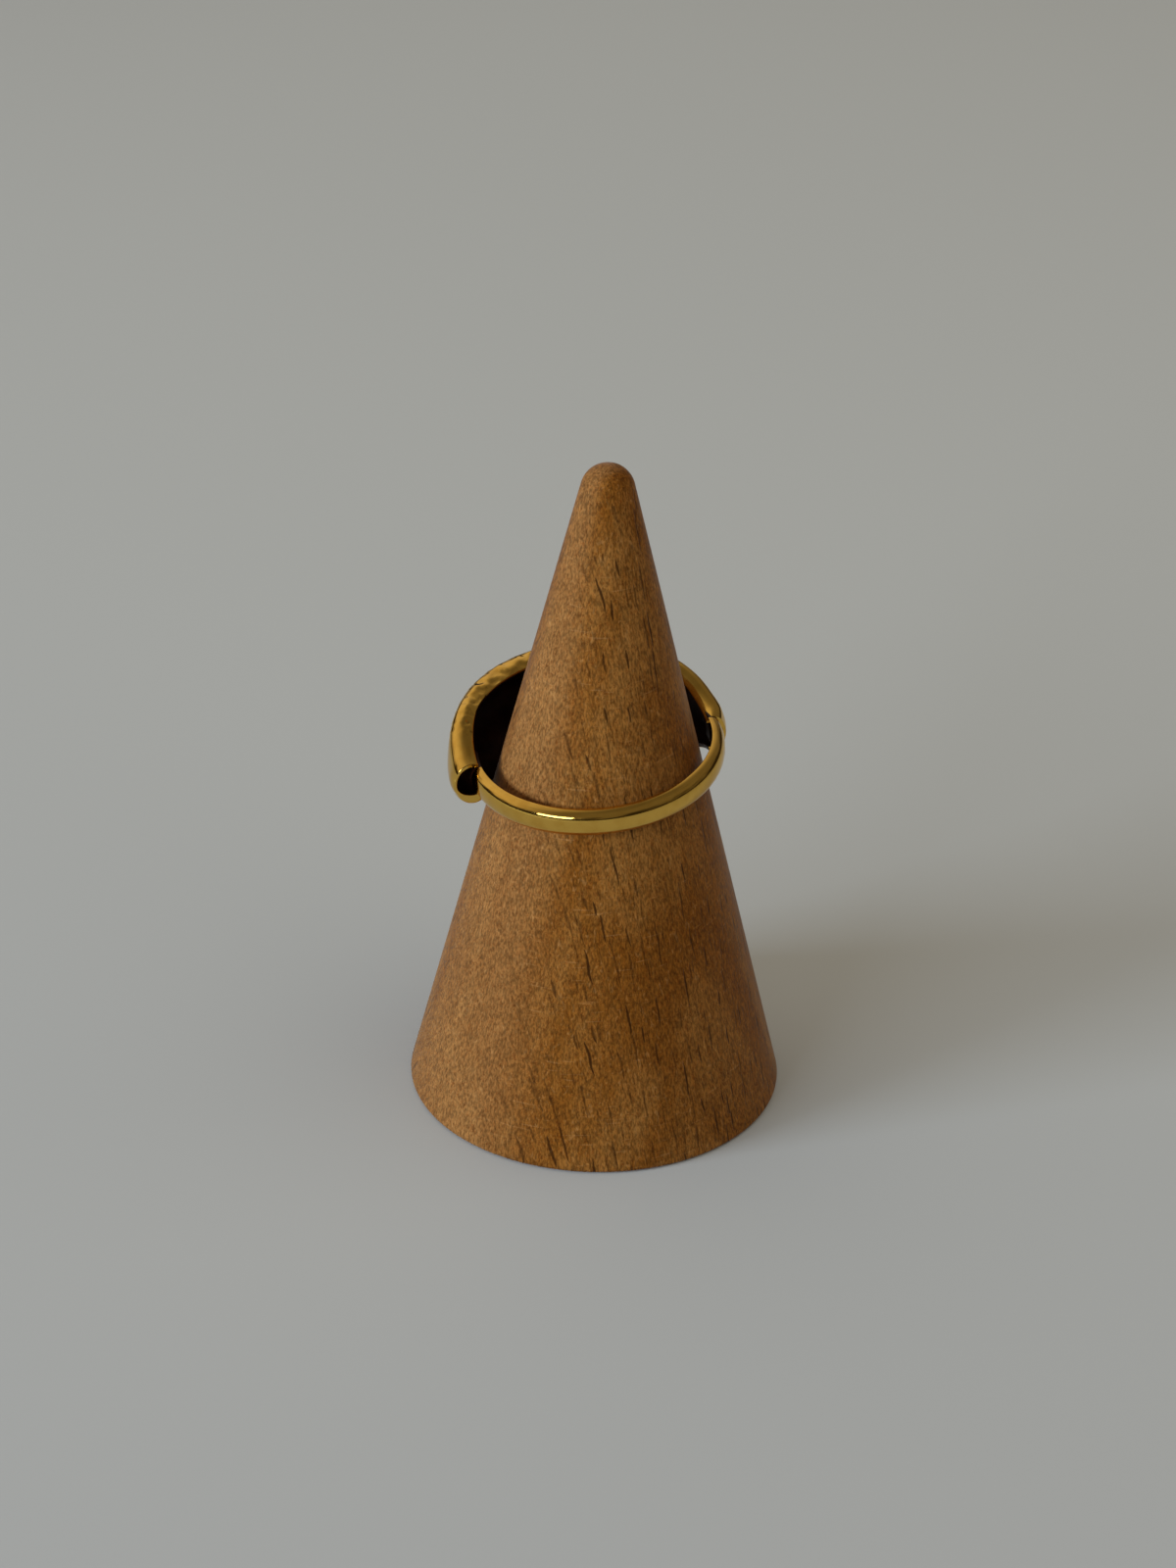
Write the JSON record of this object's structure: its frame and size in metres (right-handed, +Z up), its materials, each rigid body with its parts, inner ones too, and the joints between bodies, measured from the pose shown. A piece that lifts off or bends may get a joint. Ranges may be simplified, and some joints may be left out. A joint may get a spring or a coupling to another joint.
{
  "type": "dome ring on wooden display cone",
  "caption": "Gold-coloured dome ring, hollow behind its front and open at one end, with a narrow back band, resting on a plain round-tipped beech ring cone.",
  "frame": {"origin": "middle of the cone's flat base, on the surface that it stands on", "axes": "+Z up along the cone's axis; +Y towards the ring's domed front, whose middle is turned 18 degrees from it towards -X; the ring's narrow back band faces -Y"},
  "size_m": [0.0278, 0.0278, 0.05],
  "materials": {
    "gold": "polished gold-coloured metal, hand-finished, with fine scratches",
    "beech": "turned and sanded, bare, with a faint sheen"
  },
  "bodies": {
    "root": {"dome_ring": "gold", "display_cone": "beech"}
  },
  "joints": []
}
